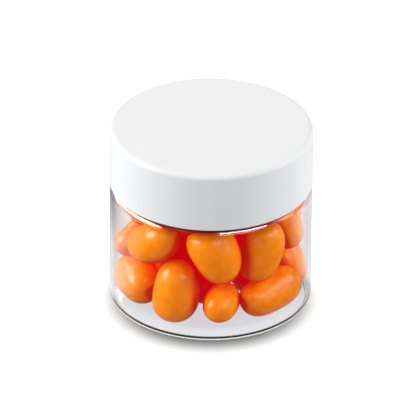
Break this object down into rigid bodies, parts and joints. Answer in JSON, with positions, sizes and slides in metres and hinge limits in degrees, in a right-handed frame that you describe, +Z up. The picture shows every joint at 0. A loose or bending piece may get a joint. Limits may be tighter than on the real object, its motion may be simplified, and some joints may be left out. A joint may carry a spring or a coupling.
{
  "type": "jar of mints",
  "caption": "Small round clear plastic jar with a white screw lid, filled with orange oblong sugar-shelled mints.",
  "frame": {"origin": "on the table, at the middle of the jar's foot", "axes": "+Z up along the jar's axis; the side that the picture shows faces -Y, with +X to its right"},
  "size_m": [0.05, 0.05, 0.0466],
  "materials": {
    "jar": "clear, polished",
    "lid": "white, satin",
    "mints": "orange sugar shell, satin"
  },
  "bodies": {
    "root": {"jar": "jar", "lid": "lid", "mints": "mints"}
  },
  "joints": []
}
